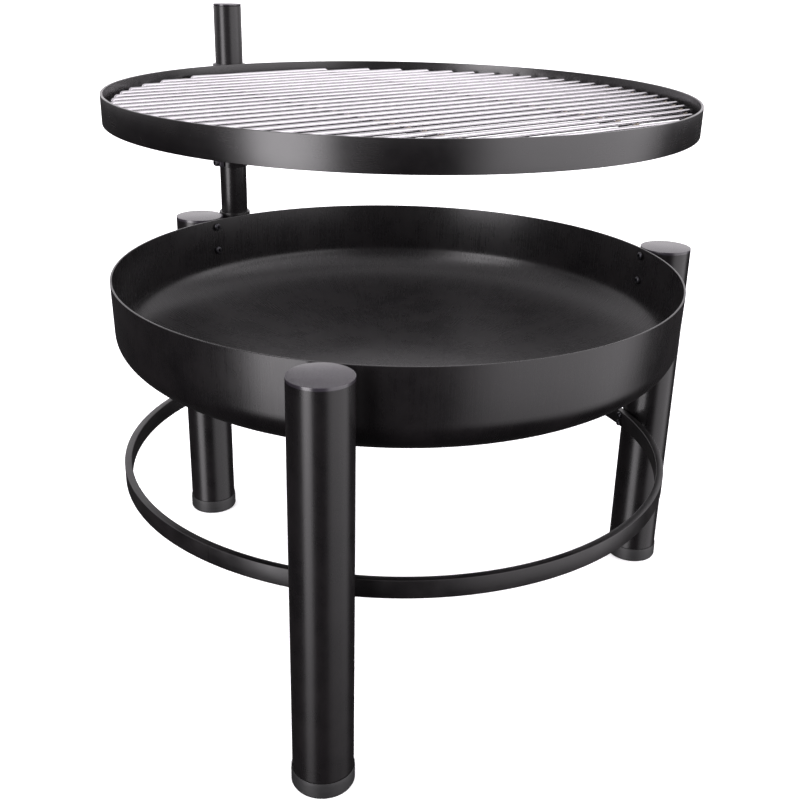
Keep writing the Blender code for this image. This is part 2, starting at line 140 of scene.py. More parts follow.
def linear(hex_colour):
    """An sRGB hex colour as linear RGBA."""
    values = [int(hex_colour[place:place + 2], 16) / 255 for place in (1, 3, 5)]
    return (*[v / 12.92 if v <= 0.04045 else ((v + 0.055) / 1.055) ** 2.4 for v in values], 1.0)


def put(tree, kind, settings=None, **links):
    """Adds a node with its settings, and sets or links each input by its name or its number."""
    made = tree.nodes.new(kind)
    for key, value in (settings or {}).items():
        setattr(made, key, value)
    for key, value in links.items():
        name = key.replace("_", " ")
        socket = made.inputs[int(name[1:])] if name[0] == "n" and name[1:].isdigit() else made.inputs[name]
        if isinstance(value, bpy.types.NodeSocket):
            tree.links.new(value, socket)
        else:
            socket.default_value = value
    return made


def new_material(name):
    material = bpy.data.materials.new(name)
    material.use_nodes = True
    return material, material.node_tree, material.node_tree.nodes["Principled BSDF"]


# Stove paint sprayed on bare steel: a silicone paint with hardly any gloss left after the first
# fire. It gives a deep, slightly warm black with a soft sheen, a fine orange peel about 1 mm
# wide, and a haze of handling marks some 40 mm wide that changes how sharp the sheen is.
def stove_paint(
        name, dark="#0b0a0b", light="#151314", streaks=None, roughness=(0.29, 0.33), peel=0.00002, ior=1.42):
    material, tree, shader = new_material(name)
    place = put(tree, "ShaderNodeTexCoord")
    spot = place.outputs["Object"]
    haze = put(tree, "ShaderNodeTexNoise", Vector=spot, Scale=1 / 0.040, Detail=4.0, Roughness=0.6)
    dust = put(tree, "ShaderNodeTexNoise", Vector=spot, Scale=1 / 0.0035, Detail=3.0, Roughness=0.7)
    orange_peel = put(tree, "ShaderNodeTexNoise", Vector=spot, Scale=1 / 0.0011, Detail=2.0)
    tone = put(tree, "ShaderNodeMath", {"operation": "MULTIPLY_ADD"}, n0=dust.outputs["Fac"], n1=0.45)
    tree.links.new(haze.outputs["Fac"], tone.inputs[2])
    colour = put(tree, "ShaderNodeMapRange", Value=tone.outputs[0])
    colour.inputs["From Min"].default_value = 0.45
    colour.inputs["From Max"].default_value = 1.0
    paint = put(tree, "ShaderNodeMix", {"data_type": "RGBA"}, Factor=colour.outputs[0])
    paint.inputs[6].default_value = linear(dark)
    paint.inputs[7].default_value = linear(light)
    tree.links.new(paint.outputs[2], shader.inputs["Base Color"])
    sheen = put(tree, "ShaderNodeMapRange", Value=haze.outputs["Fac"])
    sheen.inputs["From Min"].default_value = 0.35
    sheen.inputs["From Max"].default_value = 0.65
    sheen.inputs["To Min"].default_value = roughness[0]
    sheen.inputs["To Max"].default_value = roughness[1]
    rough, height = sheen.outputs[0], orange_peel.outputs["Fac"]
    if streaks:
        # Marks under the paint run one way, up a wall or along a strip: 2 to 3 mm wide, far longer.
        width, length, amount = streaks
        stretch = put(tree, "ShaderNodeMapping", Vector=place.outputs["UV"])
        stretch.inputs["Scale"].default_value = (1 / width, 1 / length, 1.0)
        drawn = put(
            tree, "ShaderNodeTexNoise", Vector=stretch.outputs[0], Scale=1.0, Detail=3.0, Roughness=0.65)
        swing = put(tree, "ShaderNodeMath", {"operation": "MULTIPLY_ADD"}, n0=drawn.outputs["Fac"], n1=amount)
        tree.links.new(rough, swing.inputs[2])
        rough = swing.outputs[0]
        both = put(tree, "ShaderNodeMath", {"operation": "MULTIPLY_ADD"}, n0=drawn.outputs["Fac"], n1=1.6)
        tree.links.new(height, both.inputs[2])
        height = both.outputs[0]
    tree.links.new(rough, shader.inputs["Roughness"])
    bump = put(tree, "ShaderNodeBump", Strength=1.0, Distance=peel, Height=height)
    tree.links.new(bump.outputs[0], shader.inputs["Normal"])
    shader.inputs["IOR"].default_value = ior
    return material


def bowl_shell(inset, steps=36):
    shell = [(BOWL_R - inset, BOWL_RIM_Z)]
    for step in range(steps + 1):
        angle = math.pi / 2 * step / steps
        reach = math.cos(angle) ** (2 / BOWL_SHOULDER_POWER) if step < steps else 0.0
        drop = math.sin(angle) ** (2 / BOWL_SHOULDER_POWER) if step else 0.0
        radius = BOWL_FLOOR[0] + (BOWL_WALL_FOOT[0] - inset - BOWL_FLOOR[0]) * reach
        shell.append((radius, BOWL_WALL_FOOT[1] - (BOWL_WALL_FOOT[1] - BOWL_FLOOR[1] - inset) * drop))
    return shell + [(0, BOWL_FLOOR[1] + inset)]


bowl_outline = eased(list(reversed(bowl_shell(0))) + bowl_shell(BOWL_WALL), 0.0009)
bowl = turned("spun_bowl", bowl_outline, 240, Matrix.Translation(AXIS))
spun_paint = stove_paint("spun_steel_stove_paint", streaks=(0.0026, 0.090, 0.10), roughness=(0.21, 0.245))
keep(bowl, spun_paint, "black_paint", "stand", "fire_bowl")

# ---------------------------------------------------------------------------------------------
# Three legs. Drawn steel tube 67 mm across with a 2 mm wall, a disc welded on its top end and
# ground flush, and a moulded cup pushed on its foot. Same satin black paint as the bowl; the disc's lighter
# tone is a painted sheen.
LEG_CIRCLE_R = 0.3838
LEG_R = 0.0335
LEG_WALL = 0.002
LEG_TOP_Z = 0.4730
LEG_AZIMUTHS = {"front": 270.0, "right": 30.0, "left": 150.0}
CAP_THICK = 0.0035
CAP_EDGE = 0.0007
CAP_EDGE_STEPS = 4
JOINT = 0.0003
FOOT_R = 0.0348
FOOT_HEIGHT = 0.020
FOOT_FLOOR = 0.003
FOOT_CHAMFER = 0.0012
FOOT_CHAMFER_Z = 0.0022
FOOT_TAPER = 0.0003
FOOT_TAPER_Z = 0.0150

tube_paint = stove_paint("drawn_tube_stove_paint", streaks=(0.0030, 0.120, 0.05), roughness=(0.24, 0.27))
# A lighter, lilac-tinted copy of the stove paint for the leg discs, mast disc, collar, plates and bosses:
# painted sheen, the light these faces catch painted into their colour.
sheen_painted_paint = stove_paint(
    "stove_paint_with_painted_sheen", dark="#221f24", light="#2d2a30", roughness=(0.21, 0.25), ior=1.58)


# Moulded polypropylene with a spark-eroded texture: dull, a little greyer than the paint, and
# grained 0.6 to 0.8 mm wide.
def moulded_plastic(name, dark="#141414", light="#1e1e1f", grain=0.0006):
    material, tree, shader = new_material(name)
    spot = put(tree, "ShaderNodeTexCoord").outputs["Object"]
    leather = put(tree, "ShaderNodeTexVoronoi", Vector=spot, Scale=1 / grain)
    scuff = put(tree, "ShaderNodeTexNoise", Vector=spot, Scale=1 / 0.012, Detail=5.0, Roughness=0.65)
    tint = put(tree, "ShaderNodeMix", {"data_type": "RGBA"}, Factor=scuff.outputs["Fac"])
    tint.inputs[6].default_value = linear(dark)
    tint.inputs[7].default_value = linear(light)
    tree.links.new(tint.outputs[2], shader.inputs["Base Color"])
    dull = put(tree, "ShaderNodeMapRange", Value=scuff.outputs["Fac"])
    dull.inputs["To Min"].default_value = 0.42
    dull.inputs["To Max"].default_value = 0.62
    tree.links.new(dull.outputs[0], shader.inputs["Roughness"])
    bump = put(tree, "ShaderNodeBump", Strength=0.6, Distance=0.00004, Height=leather.outputs["Distance"])
    tree.links.new(bump.outputs[0], shader.inputs["Normal"])
    shader.inputs["IOR"].default_value = 1.49
    return material


foot_plastic = moulded_plastic("moulded_polypropylene")
for side, azimuth in LEG_AZIMUTHS.items():
    stand_at = Matrix.Translation(around(LEG_CIRCLE_R, azimuth))
    tube_low = FOOT_FLOOR + JOINT
    tube_high = LEG_TOP_Z - CAP_THICK
    bore = LEG_R - LEG_WALL
    tube_outline = [(bore, tube_high), (bore, tube_low), (LEG_R, tube_low), (LEG_R, tube_high)]
    tube = turned("leg_tube_painted_" + side, tube_outline, 96, stand_at)
    keep(tube, tube_paint, "black_paint", "stand", "leg_tube_" + side)
    cap_outline = [(0, tube_high), (LEG_R, tube_high)]
    for step in range(CAP_EDGE_STEPS + 1):
        angle = math.pi / 2 * step / CAP_EDGE_STEPS
        edge_r = LEG_R - CAP_EDGE * (1 - math.cos(angle))
        cap_outline.append((edge_r, LEG_TOP_Z - CAP_EDGE * (1 - math.sin(angle))))
    cap = turned("leg_disc_" + side, cap_outline + [(0, LEG_TOP_Z)], 96, stand_at)
    keep(cap, sheen_painted_paint, "black_paint", "stand", "leg_cap_" + side)
    foot_outline = eased([
        (0, 0), (FOOT_R - FOOT_CHAMFER, 0), (FOOT_R, FOOT_CHAMFER_Z), (FOOT_R, FOOT_TAPER_Z),
        (FOOT_R - FOOT_TAPER, FOOT_HEIGHT), (LEG_R + JOINT, FOOT_HEIGHT), (LEG_R + JOINT, FOOT_FLOOR),
        (0, FOOT_FLOOR)], 0.0005)
    foot = turned("foot_cup_" + side, foot_outline, 96, stand_at)
    keep(foot, foot_plastic, "black_plastic", "stand", "foot_cap_" + side)

# ---------------------------------------------------------------------------------------------
# Lower hoop. One flat bar, 22 x 9 mm, rolled to a circle inside the legs. Its sheared ends meet
# at a seam beside the front leg, where a hairline shows through the paint.
HOOP_R = 0.350
HOOP_THICK = 0.009
HOOP_TOP_Z = 0.2348
HOOP_HEIGHT = 0.0220
HOOP_SEAM_AZIMUTH = 245.5
HOOP_SEAM_GAP = 0.0004
HOOP_CORNER = 0.0008


def inputs_of(tree, sizes):
    """Gives a geometry tree its named number inputs and its output, and returns the input node."""
    for name, value in sizes.items():
        whole = isinstance(value, int)
        kind = "NodeSocketInt" if whole else "NodeSocketFloat"
        tree.interface.new_socket(name=name, in_out="INPUT", socket_type=kind).default_value = value
    tree.interface.new_socket(name="Mesh", in_out="OUTPUT", socket_type="NodeSocketGeometry")
    return put(tree, "NodeGroupInput")


def grown(name, tree, sizes):
    """The plain mesh that a geometry tree makes from these sizes."""
    carrier = bpy.data.objects.new(name, bpy.data.meshes.new(name))
    bpy.context.scene.collection.objects.link(carrier)
    modifier = carrier.modifiers.new("shape", "NODES")
    modifier.node_group = tree
    for socket in tree.interface.items_tree:
        if socket.in_out == "INPUT":
            modifier[socket.identifier] = sizes[socket.name]
    bpy.context.view_layer.update()
    graph = bpy.context.evaluated_depsgraph_get()
    mesh = bpy.data.meshes.new_from_object(carrier.evaluated_get(graph))
    bpy.data.objects.remove(carrier)
    for index, material in enumerate(mesh.materials):
        if material is None:
            mesh.materials.pop(index=index)
            break
    return finished(name, mesh)


def rolled_bar_tree(material, sizes):
    """Flat bar with eased corners, rolled round the Z axis."""
    tree = bpy.data.node_groups.new("rolled_flat_bar", "GeometryNodeTree")
    given = inputs_of(tree, sizes).outputs
    arc = put(tree, "GeometryNodeCurveArc", Resolution=361, Radius=given["Middle Radius"])
    tree.links.new(given["Start"], arc.inputs["Start Angle"])
    tree.links.new(given["Sweep"], arc.inputs["Sweep Angle"])
    level = put(tree, "GeometryNodeSetCurveNormal", {"mode": "Z_UP"}, Curve=arc.outputs["Curve"])
    section = put(
        tree, "GeometryNodeCurvePrimitiveQuadrilateral", Width=given["Thickness"], Height=given["Height"])
    fillet = put(tree, "GeometryNodeFilletCurve", {"mode": "POLY"}, Curve=section.outputs[0])
    fillet.inputs["Count"].default_value = 3
    tree.links.new(given["Corner"], fillet.inputs["Radius"])
    bar = put(tree, "GeometryNodeCurveToMesh", Curve=level.outputs[0])
    tree.links.new(fillet.outputs[0], bar.inputs["Profile Curve"])
    bar.inputs["Fill Caps"].default_value = True
    place = put(tree, "ShaderNodeCombineXYZ", X=given["Axis X"], Y=given["Axis Y"], Z=given["Middle Z"])
    moved = put(tree, "GeometryNodeTransform", Geometry=bar.outputs[0], Translation=place.outputs[0])
    whole = put(tree, "GeometryNodeRealizeInstances", Geometry=moved.outputs[0])
    painted = put(tree, "GeometryNodeSetMaterial", Geometry=whole.outputs[0], Material=material)
    put(tree, "NodeGroupOutput", Mesh=painted.outputs[0])
    return tree


bar_paint = stove_paint("rolled_bar_stove_paint", roughness=(0.28, 0.40))
seam_half = HOOP_SEAM_GAP / 2 / HOOP_R
hoop_sizes = {
    "Middle Radius": HOOP_R - HOOP_THICK / 2, "Thickness": HOOP_THICK, "Height": HOOP_HEIGHT,
    "Corner": HOOP_CORNER, "Middle Z": HOOP_TOP_Z - HOOP_HEIGHT / 2,
    "Start": math.radians(HOOP_SEAM_AZIMUTH) + seam_half, "Sweep": 2 * math.pi - 2 * seam_half,
    "Axis X": AXIS.x, "Axis Y": AXIS.y}
hoop = grown("lower_hoop", rolled_bar_tree(bar_paint, hoop_sizes), hoop_sizes)
keep(hoop, None, "black_paint", "stand", "lower_ring")

# ---------------------------------------------------------------------------------------------
# Bolts. Six button-head screws with a hexagon socket hold the bowl to the legs from inside, and
# six more hold the hoop. Black-finished steel, left as bought, so a bit glossier than the paint.
BOLT_HEAD_HEIGHT = 0.0032
BOLT_HEAD_RIM = 0.18
BOLT_SHANK_R = 0.003
BOLT_SHANK = 0.010
BOWL_BOLTS = {"Seat": 0.3458, "Upper": 0.4625, "Lower": 0.4285, "Head": 0.0052}
HOOP_BOLTS = {"Seat": 0.3401, "Upper": 0.2293, "Lower": 0.2177, "Head": 0.0045}


def black_oxide(name):
    """Heat-blackened steel: a dark blue-grey metal skin with the turning marks still showing."""
    material, tree, shader = new_material(name)
    spot = put(tree, "ShaderNodeTexCoord").outputs["Object"]
    blotch = put(tree, "ShaderNodeTexNoise", Vector=spot, Scale=1 / 0.0025, Detail=4.0)
    skin = put(tree, "ShaderNodeMix", {"data_type": "RGBA"}, Factor=blotch.outputs["Fac"])
    skin.inputs[6].default_value = linear("#2b2b2e")
    skin.inputs[7].default_value = linear("#47464a")
    tree.links.new(skin.outputs[2], shader.inputs["Base Color"])
    worn = put(tree, "ShaderNodeMapRange", Value=blotch.outputs["Fac"])
    worn.inputs["To Min"].default_value = 0.28
    worn.inputs["To Max"].default_value = 0.46
    tree.links.new(worn.outputs[0], shader.inputs["Roughness"])
    bump = put(tree, "ShaderNodeBump", Strength=0.5, Distance=0.00003, Height=blotch.outputs["Fac"])
    tree.links.new(bump.outputs[0], shader.inputs["Normal"])
    shader.inputs["Metallic"].default_value = 0.9
    return material


def button_head(name, radius, height, length, sides=48):
    """A domed head above z = 0 with a hexagon socket, and its shank below."""
    rim, socket = height * BOLT_HEAD_RIM, radius * 0.42
    profile = [(0, -length), (BOLT_SHANK_R, -length), (BOLT_SHANK_R, 0), (radius, 0), (radius, rim)]
    for step in range(1, 6):
        angle = math.pi / 2 * step / 6
        profile.append((radius - socket * (1 - math.cos(angle)), rim + (height - rim) * math.sin(angle)))
    profile += [(radius * 0.56, height), (socket, height), (socket * 0.98, height * 0.25), (0, height * 0.2)]
    made = turned(name, profile, sides)
    for vertex in made.data.vertices:
        reach = math.hypot(vertex.co.x, vertex.co.y)
        if vertex.co.z > height * 0.24 and 1e-6 < reach < socket * 1.001:
            angle = math.atan2(vertex.co.y, vertex.co.x) % (math.pi / 3) - math.pi / 6
            flat = 0.9 / math.cos(angle)
            vertex.co.x *= flat
            vertex.co.y *= flat
    return made


def leg_bolts_tree(material, sizes):
    """Two bolts one above the other at each of three legs, their heads facing the bowl's axis."""
    tree = bpy.data.node_groups.new("leg_bolts", "GeometryNodeTree")
    tree.interface.new_socket(name="Bolt", in_out="INPUT", socket_type="NodeSocketObject")
    given = inputs_of(tree, sizes).outputs
    legs = put(tree, "GeometryNodeMeshCircle", Vertices=given["Legs"], Radius=given["Seat"])
    start = put(tree, "ShaderNodeCombineXYZ", Z=given["First"])
    rows = put(tree, "GeometryNodeJoinGeometry")
    for height in ("Upper", "Lower"):
        lift = put(tree, "ShaderNodeCombineXYZ", Z=given[height])
        row = put(tree, "GeometryNodeTransform", Geometry=legs.outputs[0], Translation=lift.outputs[0])
        tree.links.new(start.outputs[0], row.inputs["Rotation"])
        tree.links.new(row.outputs[0], rows.inputs[0])
    at = put(tree, "GeometryNodeInputPosition")
    inwards = put(
        tree, "ShaderNodeVectorMath", {"operation": "MULTIPLY"}, n0=at.outputs[0], n1=(-1, -1, 0))
    facing = put(tree, "FunctionNodeAlignRotationToVector", {"axis": "Z"}, Vector=inwards.outputs[0])
    bolt = put(tree, "GeometryNodeObjectInfo", Object=given["Bolt"])
    placed = put(
        tree, "GeometryNodeInstanceOnPoints", Points=rows.outputs[0], Instance=bolt.outputs["Geometry"])
    tree.links.new(facing.outputs[0], placed.inputs["Rotation"])
    middle = put(tree, "ShaderNodeCombineXYZ", X=given["Axis X"], Y=given["Axis Y"])
    moved = put(tree, "GeometryNodeTransform", Geometry=placed.outputs[0], Translation=middle.outputs[0])
    whole = put(tree, "GeometryNodeRealizeInstances", Geometry=moved.outputs[0])
    painted = put(tree, "GeometryNodeSetMaterial", Geometry=whole.outputs[0], Material=material)
    put(tree, "NodeGroupOutput", Mesh=painted.outputs[0])
    return tree


bolt_oxide = black_oxide("black_oxide_steel")
for group, bolt in (("bowl", BOWL_BOLTS), ("ring", HOOP_BOLTS)):
    pattern = button_head("bolt_pattern", bolt["Head"], BOLT_HEAD_HEIGHT, BOLT_SHANK)
    sizes = {
        "Legs": len(LEG_AZIMUTHS), "Seat": bolt["Seat"], "Upper": bolt["Upper"], "Lower": bolt["Lower"],
        "First": math.radians(LEG_AZIMUTHS["right"]), "Axis X": AXIS.x, "Axis Y": AXIS.y}
    bolts = grown(group + "_bolts", leg_bolts_tree(bolt_oxide, sizes), {"Bolt": pattern, **sizes})
    bpy.data.objects.remove(pattern)
    stood_for = [
        "{}_bolt_{}_{}".format(group, side, level) for side in LEG_AZIMUTHS for level in ("upper", "lower")]
    keep(bolts, None, "black_bolt", "stand", *stood_for)

# ---------------------------------------------------------------------------------------------
# Mast socket. A short tube with a floor, welded beside the left leg, that the mast stands in.
# Its mouth is turned square.
SOCKET_R = 0.0223
SOCKET_TOP_Z = 0.4745
SOCKET_BOTTOM_Z = 0.322
SOCKET_FLOOR = 0.003
MAST_R = 0.019

socket_low, socket_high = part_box("mast_socket")
MAST = Vector(((socket_low.x + socket_high.x) / 2, (socket_low.y + socket_high.y) / 2, 0.0))
at_mast = Matrix.Translation(MAST)
socket_outline = eased([
    (0, SOCKET_BOTTOM_Z), (SOCKET_R, SOCKET_BOTTOM_Z), (SOCKET_R, SOCKET_TOP_Z),
    (MAST_R + JOINT, SOCKET_TOP_Z), (MAST_R + JOINT, SOCKET_BOTTOM_Z + SOCKET_FLOOR),
    (0, SOCKET_BOTTOM_Z + SOCKET_FLOOR)], 0.0005)
socket = turned("mast_socket_painted", socket_outline, 80, at_mast)
keep(socket, tube_paint, "black_paint", "stand", "mast_socket")

# ---------------------------------------------------------------------------------------------
# Mast. A steel tube 38 mm across that turns in the socket, closed by a thin disc at its top.
MAST_WALL = 0.002
MAST_TOP_Z = 0.7635
MAST_CAP_THICK = 0.0025
mast_low = SOCKET_BOTTOM_Z + SOCKET_FLOOR + JOINT
mast_high = MAST_TOP_Z - MAST_CAP_THICK - JOINT
mast_outline = eased([
    (MAST_R - MAST_WALL, mast_high), (MAST_R - MAST_WALL, mast_low), (MAST_R, mast_low),
    (MAST_R, mast_high)], 0.0003, 2)
mast = turned("mast_tube_painted", mast_outline, 80, at_mast)
keep(mast, tube_paint, "black_paint", "mast", "mast_tube")
disc_low = mast_high + JOINT
mast_disc_outline = eased([(0, disc_low), (MAST_R, disc_low), (MAST_R, MAST_TOP_Z), (0, MAST_TOP_Z)], 0.0008)
mast_disc = turned("mast_disc", mast_disc_outline, 80, at_mast)
keep(mast_disc, sheen_painted_paint, "black_paint", "mast", "mast_cap")

# ---------------------------------------------------------------------------------------------
# Carriage sleeve. A thin tube that slides on the mast, drilled for its two screws, with a
# thicker collar shrunk round its top end, where the load of the grill hangs.
SLEEVE_R = 0.0209
SLEEVE_TOP_Z = 0.6840
COLLAR_R = 0.0228
COLLAR_HEIGHT = 0.009


def plain_copy(node, name, ease):
    """A CAD node's shape as a clean mesh with its edges eased, in a new object."""
    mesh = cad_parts[node].data.copy()
    made = bpy.data.objects.new(name, mesh)
    bpy.context.scene.collection.objects.link(made)
    weld = made.modifiers.new("weld", "WELD")
    weld.merge_threshold = 0.00001
    flat = made.modifiers.new("flat", "DECIMATE")
    flat.decimate_type = "DISSOLVE"
    flat.angle_limit = math.radians(2)
    soft = made.modifiers.new("ease", "BEVEL")
    soft.width = ease
    soft.segments = 3
    soft.limit_method = "ANGLE"
    soft.angle_limit = math.radians(40)
    bpy.context.view_layer.update()
    graph = bpy.context.evaluated_depsgraph_get()
    clean = bpy.data.meshes.new_from_object(made.evaluated_get(graph))
    bpy.data.objects.remove(made)
    return finished(name, clean)


sleeve_paint = stove_paint("sleeve_stove_paint", roughness=(0.24, 0.27))
sleeve = plain_copy("slide_sleeve", "sleeve_painted", ease=0.0003)
keep(sleeve, sleeve_paint, "black_paint", "carriage", "slide_sleeve")
collar_outline = eased([
    (SLEEVE_R + JOINT, SLEEVE_TOP_Z), (SLEEVE_R + JOINT, SLEEVE_TOP_Z - COLLAR_HEIGHT),
    (COLLAR_R, SLEEVE_TOP_Z - COLLAR_HEIGHT), (COLLAR_R, SLEEVE_TOP_Z)], 0.0009)
collar = turned("collar_painted", collar_outline, 80, at_mast)
keep(collar, sheen_painted_paint, "black_paint", "carriage", "sleeve_collar")

# ---------------------------------------------------------------------------------------------
# Grill band. A 33 x 3 mm strip rolled to a ring and welded on the side next to the mast, with
# two flat plates between it and the sleeve. The strip's cut edges are slightly rounded.
BAND_R = 0.344
BAND_WALL = 0.003
BAND_TOP_Z = 0.6860
BAND_HEIGHT = 0.0326
band_outline = eased([
    (BAND_R - BAND_WALL, BAND_TOP_Z), (BAND_R - BAND_WALL, BAND_TOP_Z - BAND_HEIGHT),
    (BAND_R, BAND_TOP_Z - BAND_HEIGHT), (BAND_R, BAND_TOP_Z)], 0.0009)
band = turned("grill_band_painted", band_outline, 320, Matrix.Translation(AXIS))
band_paint = stove_paint(
    "rolled_strip_stove_paint", dark="#080708", light="#100e0f", streaks=(0.120, 0.0016, 0.05),
    roughness=(0.21, 0.25), ior=1.58)
keep(band, band_paint, "black_paint", "carriage", "grate_band")

for level in ("upper", "lower"):
    plate = plain_copy("bracket_plate_" + level, "bracket_plate_painted_" + level, ease=0.0005)
    keep(plate, sheen_painted_paint, "black_paint", "carriage", "bracket_plate_" + level)

# ---------------------------------------------------------------------------------------------
# Grill supports. A flat bar on edge crosses the band, and two short lugs stand at right angles
# to it. The grill lies on all three. Sheared from hot-rolled strip and welded in.
for node, name in (
        ("support_bar", "support_bar_painted"), ("support_lug_back", "support_lug_back_painted"),
        ("support_lug_front", "support_lug_front_painted")):
    rest = plain_copy(node, name, ease=0.0005)
    keep(rest, bar_paint, "black_paint", "carriage", node)

# ---------------------------------------------------------------------------------------------
# Set bolt. A tapered block is welded low on the sleeve, and a button-head bolt through it
# bears on the mast, as a second stop for the carriage.
boss = plain_copy("set_boss", "set_boss_painted", ease=0.0008)
keep(boss, sheen_painted_paint, "black_paint", "carriage", "set_boss")
SET_BOLT_AZIMUTH = 235.0
SET_BOLT_Z = 0.5480
SET_BOLT_SEAT = 0.0278
SET_BOLT_HEAD_R = 0.0052
SET_BOLT_HEAD_HEIGHT = 0.0045
SET_BOLT_SHANK = 0.008


def out_of_mast(azimuth, z):
    """Turns Z to point straight out of the mast, at this azimuth and height."""
    turn = Matrix.Rotation(math.radians(azimuth), 4, "Z") @ Matrix.Rotation(math.radians(90), 4, "Y")
    return Matrix.Translation(MAST + Vector((0, 0, z))) @ turn


set_turn = out_of_mast(SET_BOLT_AZIMUTH, SET_BOLT_Z)
set_bolt = button_head("set_bolt_blackened", SET_BOLT_HEAD_R, SET_BOLT_HEAD_HEIGHT, SET_BOLT_SHANK)
set_bolt.data.transform(set_turn @ Matrix.Translation((0, 0, SET_BOLT_SEAT)))
keep(set_bolt, bolt_oxide, "black_bolt", "carriage", "set_bolt")

# ---------------------------------------------------------------------------------------------
# Clamp. A round boss welded on the sleeve holds a bright M8 screw, and a moulded hand knob with
# a fluted grip turns it tight against the mast.
CLAMP_AZIMUTH = 165.0
CLAMP_Z = 0.6550
BOSS_R = 0.008
BOSS_BORE_R = 0.0043
BOSS_START = 0.0212
BOSS_END = 0.0302
clamp_turn = out_of_mast(CLAMP_AZIMUTH, CLAMP_Z)
boss_outline = eased([
    (BOSS_BORE_R, BOSS_END), (BOSS_BORE_R, BOSS_START), (BOSS_R, BOSS_START), (BOSS_R, BOSS_END)], 0.0007)
knob_boss = turned("clamp_boss_painted", boss_outline, 48, clamp_turn)
keep(knob_boss, sheen_painted_paint, "black_paint", "carriage", "knob_boss")

KNOB_R = 0.0170
KNOB_START = 0.052
KNOB_LENGTH = 0.030
KNOB_HUB_R = 0.0085
KNOB_HOLE_R = 0.0044
KNOB_HOLE_DEPTH = 0.020
KNOB_CROWN = 0.004
KNOB_DISH = 0.0008
KNOB_FLUTES = 10
FLUTE_DEPTH = 0.085
FLUTE_FROM_R = 0.011
SCREW_R = 0.004
SCREW_TIP_R = 0.0032
SCREW_PITCH = 0.00125
SCREW_START = 0.0196
SCREW_END = KNOB_START + 0.0185
THREAD_ROOT_R = 0.0033
THREAD_START = 0.0206
THREAD_END = KNOB_START + 0.018


def zinc_steel(name):
    """Bright zinc on a rolled thread: light grey metal with a faint blue cast."""
    material, tree, shader = new_material(name)
    spot = put(tree, "ShaderNodeTexCoord").outputs["Object"]
    cloud = put(tree, "ShaderNodeTexNoise", Vector=spot, Scale=1 / 0.003, Detail=4.0)
    tint = put(tree, "ShaderNodeMix", {"data_type": "RGBA"}, Factor=cloud.outputs["Fac"])
    tint.inputs[6].default_value = linear("#b4b6bb")
    tint.inputs[7].default_value = linear("#cfd1d4")
    tree.links.new(tint.outputs[2], shader.inputs["Base Color"])
    dull = put(tree, "ShaderNodeMapRange", Value=cloud.outputs["Fac"])
    dull.inputs["To Min"].default_value = 0.24
    dull.inputs["To Max"].default_value = 0.40
    tree.links.new(dull.outputs[0], shader.inputs["Roughness"])
    shader.inputs["Metallic"].default_value = 1.0
    return material


screw_profile = [(0, SCREW_START), (SCREW_TIP_R, SCREW_START)]
for turn in range(int((THREAD_END - THREAD_START) / SCREW_PITCH)):
    z = THREAD_START + turn * SCREW_PITCH
    screw_profile += [
        (THREAD_ROOT_R, z), (SCREW_R, z + SCREW_PITCH * 0.45), (SCREW_R, z + SCREW_PITCH * 0.55)]
screw_profile += [(THREAD_ROOT_R, SCREW_END), (0, SCREW_END)]
screw = turned("clamp_screw_zinc", screw_profile, 40, clamp_turn)
keep(screw, zinc_steel("zinc_plated_steel"), "bright_steel", "knob", "clamp_screw")

knob_end = KNOB_START + KNOB_LENGTH
hole_end = KNOB_START + KNOB_HOLE_DEPTH
crown_low = knob_end - KNOB_CROWN
dish_z = knob_end - KNOB_DISH
knob_profile = [
    (0, hole_end), (KNOB_HOLE_R, hole_end), (KNOB_HOLE_R, KNOB_START), (KNOB_HUB_R, KNOB_START),
    (0.0100, KNOB_START + 0.005), (KNOB_R - 0.0022, KNOB_START + 0.0075), (KNOB_R, KNOB_START + 0.0105),
    (KNOB_R, crown_low)]
for step in range(1, 6):
    angle = math.pi / 2 * step / 5
    knob_profile.append((KNOB_R - KNOB_CROWN * (1 - math.cos(angle)), crown_low + 0.0038 * math.sin(angle)))
knob_profile += [(KNOB_HUB_R, knob_end - 0.0002), (0.0078, dish_z), (0, dish_z)]
knob = turned("clamp_knob_fluted", knob_profile, 160)
for vertex in knob.data.vertices:
    reach = math.hypot(vertex.co.x, vertex.co.y)
    if reach > FLUTE_FROM_R and vertex.co.z > KNOB_START + 0.006:
        angle = math.atan2(vertex.co.y, vertex.co.x)
        dip = max(0.0, -math.cos(angle * KNOB_FLUTES)) ** 2
        share = 1 - FLUTE_DEPTH * dip * min(1.0, (reach - FLUTE_FROM_R) / 0.004)
        vertex.co.x *= share
        vertex.co.y *= share
knob.data.transform(clamp_turn)
knob_plastic = moulded_plastic("moulded_nylon", dark="#17171a", light="#252528", grain=0.0008)
keep(knob, knob_plastic, "black_plastic", "knob", "clamp_knob")

# ---------------------------------------------------------------------------------------------
# Grill. Parallel 5 mm rods of bright stainless wire, cut to the circle and turned down at both
# ends, resistance-welded across a 6 mm wire ring and two cross rods.
GRILL = {
    "Rods": 25, "Pitch": 0.0262, "Rod Radius": 0.0025, "End Radius": 0.3327, "Rod Z": 0.6750, "Tip Z": 0.6677,
    "Bend": 0.0040, "Wire Radius": 0.003, "Ring Radius": 0.3258, "Wire Z": 0.6698, "Cross Near": -0.1170,
    "Cross Far": 0.1100, "Turn": math.radians(49.0), "Axis X": AXIS.x, "Axis Y": AXIS.y}
ROD_POINTS = 16
GRILL_WELD = (0.0042, 0.0042, 0.0026)


